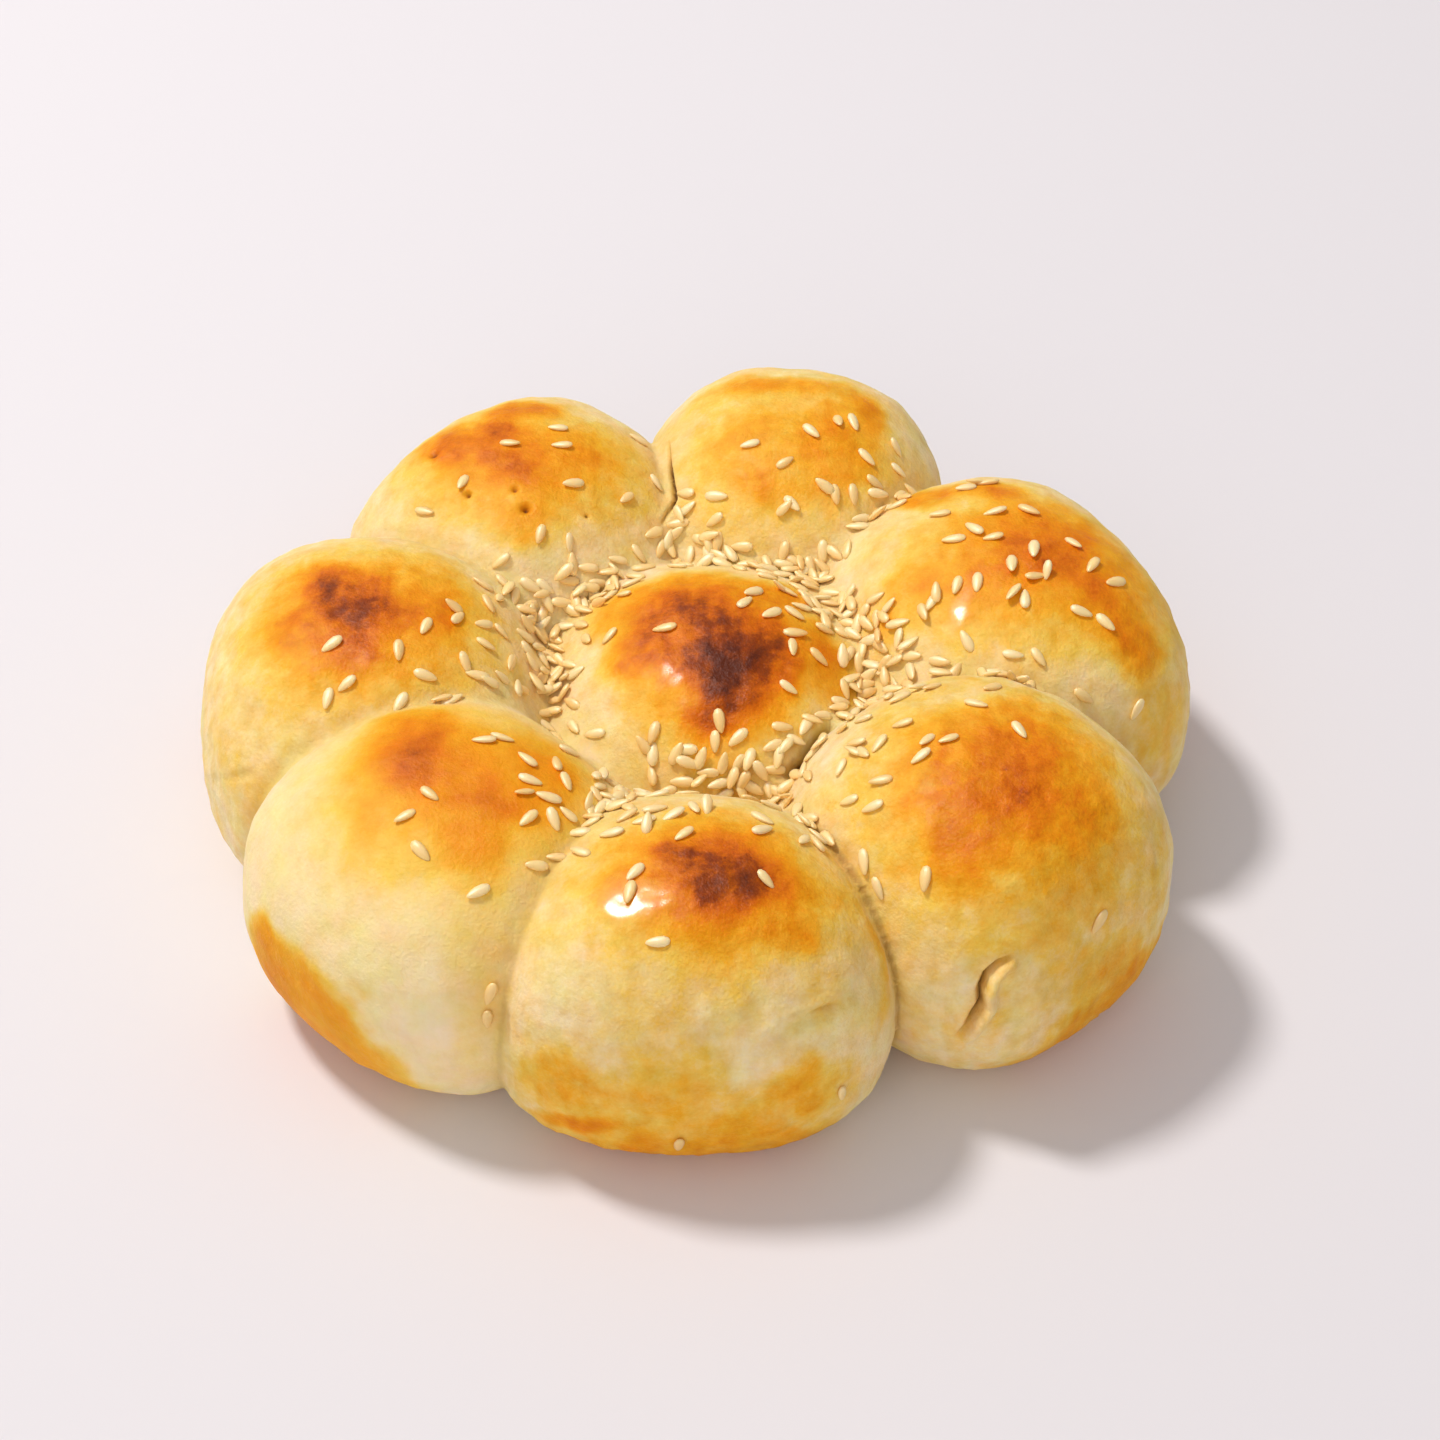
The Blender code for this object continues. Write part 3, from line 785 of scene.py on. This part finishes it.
SEEDS_SEEN = {            # where single seeds show in the view, and the lean of their long axis
    "left_valley": ((587, 568, 0), (501, 561, 40), (483, 625, 20), (485, 645, 150), (510, 664, 45),
                    (542, 660, 90), (477, 676, 0), (556, 673, 70), (541, 633, 130), (555, 640, 140),
                    (617, 560, 0), (569, 581, 0), (530, 586, 150), (488, 605, 90), (514, 597, 60),
                    (529, 606, 20), (530, 616, 90), (527, 652, 160), (501, 678, 0), (555, 701, 160),
                    (566, 695, 60), (569, 543, 90), (610, 637, 70), (504, 584, 130)),
    "right_valley": ((788, 593, 135), (822, 578, 60), (831, 594, 150), (829, 604, 150), (843, 599, 110),
                     (816, 606, 90), (801, 608, 0), (850, 624, 150), (843, 634, 150), (864, 614, 45),
                     (877, 620, 100), (881, 646, 150), (899, 639, 90), (912, 656, 170), (940, 662, 165),
                     (878, 671, 150), (887, 665, 40), (849, 655, 60), (863, 653, 90), (859, 666, 90),
                     (818, 658, 140), (822, 716, 10), (954, 540, 0)),
    "front_valley": ((596, 734, 0), (685, 750, 0), (715, 742, 90), (738, 738, 45), (772, 746, 25),
                     (823, 720, 40), (774, 770, 0), (738, 764, 60), (708, 773, 0), (682, 782, 0),
                     (667, 792, 20), (694, 809, 90), (673, 816, 55), (707, 809, 90), (723, 796, 30),
                     (732, 778, 70), (753, 788, 150), (770, 807, 60), (790, 803, 150), (596, 796, 90),
                     (610, 801, 150), (591, 824, 30), (627, 817, 70), (644, 822, 30), (612, 834, 0)),
    "back_valley": ((638, 441, 10), (702, 540, 165), (723, 565, 140), (747, 565, 0), (742, 547, 0),
                    (690, 557, 90), (715, 520, 30), (660, 549, 60), (638, 554, 130), (588, 569, 0),
                    (753, 593, 50), (789, 592, 120), (833, 593, 150), (811, 567, 110), (823, 577, 70)),
    "centre": ((665, 629, 0), (771, 614, 40), (792, 648, 75), (788, 688, 145), (844, 690, 90),
               (612, 640, 80)),
    "front": ((635, 873, 60), (765, 880, 125), (658, 942, 5), (684, 835, 60), (762, 820, 110),
              (679, 1143, 90), (841, 1092, 120), (536, 866, 0), (630, 893, 90)),
    "front_left": ((530, 781, 160), (484, 741, 15), (502, 739, 165), (430, 795, 130), (405, 817, 40),
                   (421, 852, 130), (478, 892, 30), (490, 993, 75), (487, 1018, 100), (528, 819, 50),
                   (553, 820, 100), (400, 703, 60)),
    "left": ((332, 645, 45), (347, 684, 45), (328, 699, 85), (425, 676, 165), (478, 676, 10),
             (484, 624, 60), (486, 643, 130)),
    "back_left": ((510, 444, 165), (558, 429, 0), (562, 446, 0), (573, 484, 20), (463, 483, 80),
                  (425, 512, 160), (503, 560, 60), (535, 585, 150), (618, 562, 165), (568, 543, 80)),
    "back": ((750, 445, 20), (811, 432, 120), (838, 422, 90), (853, 423, 90), (866, 458, 120),
             (895, 448, 135), (874, 483, 160), (876, 494, 175), (853, 495, 90), (835, 495, 95),
             (792, 504, 130), (860, 519, 10)),
    "back_right": ((898, 506, 20), (988, 484, 40), (966, 489, 30), (975, 485, 50), (940, 515, 10),
                   (993, 538, 10), (1029, 511, 130), (1073, 544, 110), (1092, 566, 60), (1115, 583, 30),
                   (1081, 612, 160), (1105, 623, 130), (1136, 709, 60), (1083, 696, 150), (932, 603, 70),
                   (1013, 655, 170), (957, 586, 80)),
    "front_right": ((1019, 731, 100), (976, 705, 130), (932, 688, 60), (900, 699, 75), (927, 741, 70),
                    (921, 757, 50), (881, 781, 5), (1098, 921, 45), (865, 862, 110), (879, 888, 110),
                    (926, 879, 90), (850, 801, 0)),
}
CLOSEST_SEEDS = 1.1       # no two seeds' middles are nearer than this
HEAPED_SEEDS = 1.9        # seeds nearer than this lie partly on each other
Lie = namedtuple("Lie", "tilt roll lift")
ALONE = Lie(5, 8, 0.28)   # a usual seed's tilt and roll in degrees, and its lift in thicknesses
HEAPED = Lie(16, 22, 0.62)
SEED_SIZES = (0.88, 1.1)  # the smallest and the largest seed, against the size above
VALLEY_TOP = 34.0         # strewn seeds roll below this height
VALLEY_DEPTH = 10.0       # and lie thickest this much lower
VALLEY_WIDE = 6.0         # and this near to a crease
STRAY_CHANCE = 0.04       # how likely one sticks elsewhere, against the bottom of a valley
PLACES_TRIED = 3          # places tried for each strewn seed
VALLEY_REACH = 46.0       # how far from the loaf's middle the strewn seeds lie
CLEAR_GAPS = ("gap_by_front_right", "back_seam")
GAP_CLEAR = 1.8           # no strewn seed lies so near these
LYING_UP = 0.7            # seeds on a steep wall lie flatter than the wall
rng = np.random.default_rng(8)

grain = bmesh.new()
bmesh.ops.create_uvsphere(grain, u_segments=SEED_SIDES, v_segments=SEED_RINGS, radius=1.0)
bmesh.ops.rotate(grain, verts=grain.verts, matrix=Matrix.Rotation(math.pi / 2, 3, "Y"))
for vert in grain.verts:
    x, y, z = vert.co
    narrow = 1 - SEED_POINT * (1 - x) / 2
    vert.co = (x * SEED_LONG / 2, y * narrow * SEED_WIDE / 2, z * narrow * SEED_THICK / 2)
grain_mesh = bpy.data.meshes.new("grain")
grain.to_mesh(grain_mesh)
grain.free()
grain_size = len(grain_mesh.vertices)

write_points(crust, moved)
crust_tree = tree_of(crust)
crust_facing = read_normals(crust)
write_points(crust, moved * MM)
seeds = bmesh.new()
seed_places = []


def lay_seed(place, faces, long_way):
    """A seed on the skin, flat where it lies alone and tilted up where it lies on others."""
    near = min((np.linalg.norm(place - other) for other in seed_places), default=math.inf)
    if near < CLOSEST_SEEDS:
        return False
    lie = HEAPED if near < HEAPED_SEEDS else ALONE
    long_way = Vector(long_way - (long_way @ faces) * faces).normalized()
    faces = Vector(faces)
    tilt = Matrix.Rotation(math.radians(rng.normal(0, lie.tilt)), 3, faces.cross(long_way))
    roll = Matrix.Rotation(math.radians(rng.normal(0, lie.roll)), 3, long_way)
    turn = tilt @ roll @ Matrix((long_way, faces.cross(long_way), faces)).transposed()
    lift = SEED_THICK * lie.lift
    size = rng.uniform(*SEED_SIZES)
    seeds.from_mesh(grain_mesh)
    seeds.verts.ensure_lookup_table()
    matrix = Matrix.Translation(Vector(place) + faces * lift) @ (turn * size).to_4x4()
    bmesh.ops.transform(seeds, matrix=matrix, verts=seeds.verts[-grain_size:])
    seed_places.append(place)
    return True


def view_way(lean):
    """The direction that leans so many degrees up from the right in the view."""
    angle = math.radians(lean)
    return np.array(camera_turn.to_3x3() @ Vector((math.cos(angle), math.sin(angle), 0.0)))


for bun_seeds in SEEDS_SEEN.values():
    for x, y, lean in bun_seeds:
        place, faces = seen(crust_tree, x, y)
        lay_seed(place, faces, view_way(lean))
valley = np.clip((VALLEY_TOP - moved[:, 2]) / VALLEY_DEPTH, 0, 1) ** 2 * np.exp(-(apart / VALLEY_WIDE) ** 2)
free = from_middle < VALLEY_REACH
for groove, line in zip(GROOVES, groove_lines):
    if groove.name in CLEAR_GAPS:
        free &= along_line(skin, line)[0] > GAP_CLEAR
lying = crust_facing + LYING_UP * valley[:, None] * np.array((0.0, 0.0, 1.0))
lying /= np.linalg.norm(lying, axis=1)[:, None]
for zone in SEED_ZONES:
    middle = seen(crust_tree, zone.x, zone.y)[0]
    far = np.linalg.norm(moved - middle, axis=1)
    chance = np.exp(-(far / zone.radius) ** 2) * (STRAY_CHANCE + valley) * free
    chance /= chance.sum()
    laid = 0
    for pick in rng.choice(len(skin), size=zone.count * PLACES_TRIED, p=chance, replace=False):
        if laid < zone.count and lay_seed(moved[pick], lying[pick], rng.normal(size=3)):
            laid += 1

seed_mesh = bpy.data.meshes.new("sesame_seeds")
seeds.to_mesh(seed_mesh)
seeds.free()
tone = np.repeat(rng.uniform(0, 1, len(seed_places)), grain_size)
tip = np.tile(np.clip(0.5 - read_points(grain_mesh)[:, 0] / SEED_LONG, 0, 1), len(seed_places))
bpy.data.meshes.remove(grain_mesh)
write_points(seed_mesh, read_points(seed_mesh) * MM)
paint(seed_mesh, "tone", tone)
paint(seed_mesh, "tip", tip)
seed_mesh.shade_smooth()
sesame = bpy.data.objects.new("sesame_seeds", seed_mesh)
bpy.context.scene.collection.objects.link(sesame)

SEED_COLOURS = (
    (0.0, (0.96, 0.76, 0.42)),
    (0.5, (0.95, 0.68, 0.29)),
    (1.0, (0.86, 0.53, 0.17)),
)
TONE_SHARE = 0.62         # how far its own tone, its pointed tip and its blotches toast a seed
TIP_SHARE = 0.30
BLOTCH_SHARE = 0.12
BLOTCHES = (0.5, 2.0)     # size of the lumps in millimetres, and their detail
HULL_WRINKLES = (0.25, 2.0)
WRINKLE_DEPTH = 0.00005   # in metres
sesame_material, tree, shader = new_material("sesame")
place = add(tree, "ShaderNodeTexCoord", {}).outputs["Object"]
own_tone = add(tree, "ShaderNodeAttribute", {}, attribute_name="tone").outputs["Fac"]
own_tip = add(tree, "ShaderNodeAttribute", {}, attribute_name="tip").outputs["Fac"]
by_tone = figure(tree, "MULTIPLY", own_tone, TONE_SHARE)
by_tip = figure(tree, "MULTIPLY", own_tip, TIP_SHARE)
toast = figure(tree, "ADD", by_tone, by_tip)
blotched = spread(tree, cloudy(tree, place, *BLOTCHES), -BLOTCH_SHARE, BLOTCH_SHARE)
toast = figure(tree, "ADD", toast, blotched)
tree.links.new(colour_ramp(tree, toast, SEED_COLOURS, 1.0), shader.inputs["Base Color"])
shader.inputs["Roughness"].default_value = 0.42
shader.inputs["Subsurface Weight"].default_value = 0.2
shader.inputs["Subsurface Radius"].default_value = (1.0, 0.6, 0.3)
shader.inputs["Subsurface Scale"].default_value = 0.0005
wrinkles = cloudy(tree, place, *HULL_WRINKLES)
husk = add(tree, "ShaderNodeBump", {"Strength": 0.3, "Distance": WRINKLE_DEPTH, "Height": wrinkles})
tree.links.new(husk.outputs[0], shader.inputs["Normal"])
seed_mesh.materials.append(sesame_material)
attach(sesame, "root")


# ---- The floor and the light --------------------------------------------------------------------
# A plain pale floor under an even pale sky. One soft lamp, high on the left and a little behind,
# throws the shadows, and a wide one in front lifts the shaded sides. Two more light nothing and
# only show in the gloss.
FLOOR_SIDE = 6.0
FLOOR_COLOUR = (0.79, 0.755, 0.785)
floor_shape = bmesh.new()
bmesh.ops.create_grid(floor_shape, x_segments=1, y_segments=1, size=FLOOR_SIDE / 2)
floor_mesh = bpy.data.meshes.new("floor")
floor_shape.to_mesh(floor_mesh)
floor_shape.free()
floor = bpy.data.objects.new("floor", floor_mesh)
bpy.context.scene.collection.objects.link(floor)
floor_paint, tree, shader = new_material("floor_paint")
shader.inputs["Base Color"].default_value = (*FLOOR_COLOUR, 1.0)
shader.inputs["Roughness"].default_value = 0.8
shader.inputs["Specular IOR Level"].default_value = 0.0
floor_mesh.materials.append(floor_paint)

Lamp = namedtuple("Lamp", "name way distance size power colour lights shines")
LAMPS = (
    Lamp("soft_lamp", (-0.43, 0.25, 0.86), 1.2, 0.2, 9.2, (1.0, 0.98, 0.95), True, False),
    Lamp("front_lamp", (-0.20, -0.86, 0.46), 1.6, 1.4, 5.8, (1.0, 0.99, 0.97), True, False),
    Lamp("shine_lamp", (-0.30, 0.15, 0.88), 1.2, 0.3, 18.0, (1.0, 1.0, 1.0), False, True),
    Lamp("haze_lamp", (-0.45, 0.38, 0.80), 1.5, 1.2, 16.0, (1.0, 0.96, 1.0), False, True),
)
for lamp in LAMPS:
    way = Vector(lamp.way).normalized()
    lamp_data = bpy.data.lights.new(lamp.name, "AREA")
    lamp_data.shape = "DISK"
    lamp_data.size = lamp.size
    lamp_data.energy = lamp.power
    lamp_data.color = lamp.colour
    thing = bpy.data.objects.new(lamp.name, lamp_data)
    turn = way.to_track_quat("Z", "Y").to_matrix().to_4x4()
    thing.matrix_world = Matrix.Translation(way * lamp.distance) @ turn
    thing.visible_diffuse = lamp.lights
    thing.visible_glossy = lamp.shines
    bpy.context.scene.collection.objects.link(thing)

SKY_COLOUR = (1.0, 0.98, 0.98)
SKY_STRENGTH = 0.45
sky = bpy.data.worlds.new("sky")
sky.use_nodes = True
sky.node_tree.nodes["Background"].inputs["Color"].default_value = (*SKY_COLOUR, 1.0)
sky.node_tree.nodes["Background"].inputs["Strength"].default_value = SKY_STRENGTH
bpy.context.scene.world = sky
bpy.context.scene.view_settings.view_transform = "Standard"
